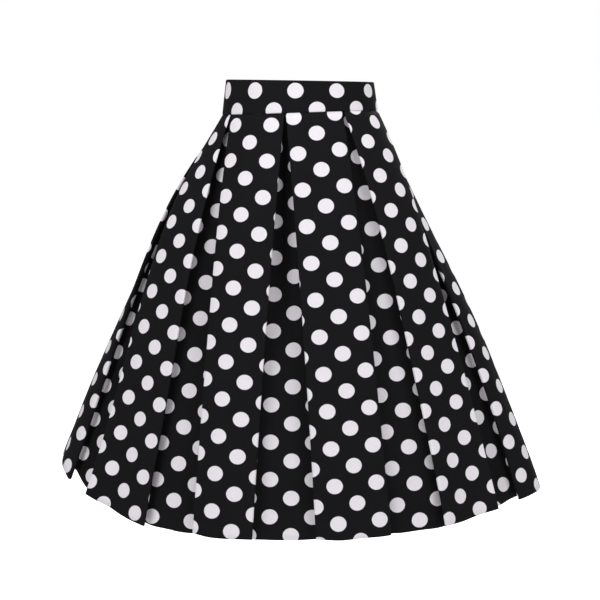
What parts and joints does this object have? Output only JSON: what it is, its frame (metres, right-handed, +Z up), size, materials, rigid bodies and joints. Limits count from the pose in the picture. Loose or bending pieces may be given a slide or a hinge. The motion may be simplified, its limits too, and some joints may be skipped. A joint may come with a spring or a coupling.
{
  "type": "pleated midi skirt",
  "caption": "Worn-shape flared midi skirt with a fitted waistband, inverted pleats opening to a wide oval hem, and a short back zip with a swinging pull.",
  "frame": {"origin": "middle of the waist, halfway up the waistband, where the wearer's waist holds the skirt", "axes": "+Z up; -Y is the front, the side that the picture shows; +X is the viewer's right"},
  "size_m": [0.7963, 0.4446, 0.7159],
  "materials": {
    "print_cotton": "matt black cotton sateen with white dots",
    "zip_tape": "black woven tape with a nylon coil",
    "zip_metal": "black lacquer, satin"
  },
  "bodies": {
    "skirt": {"waistband": "print_cotton", "skirt_front": "print_cotton", "skirt_back_left": "print_cotton", "skirt_back_right": "print_cotton", "zip_chain": "zip_tape", "zip_slider": "zip_metal"},
    "pull": {"zip_pull": "zip_metal"}
  },
  "joints": [
    {"name": "pull_swing", "type": "hinge", "parent": "skirt", "child": "pull", "pos_m": [0.03213, 0.09373, 0.01286], "axis": [0.9792, -0.2022, 0.0139], "range_deg": [0, 150]}
  ]
}
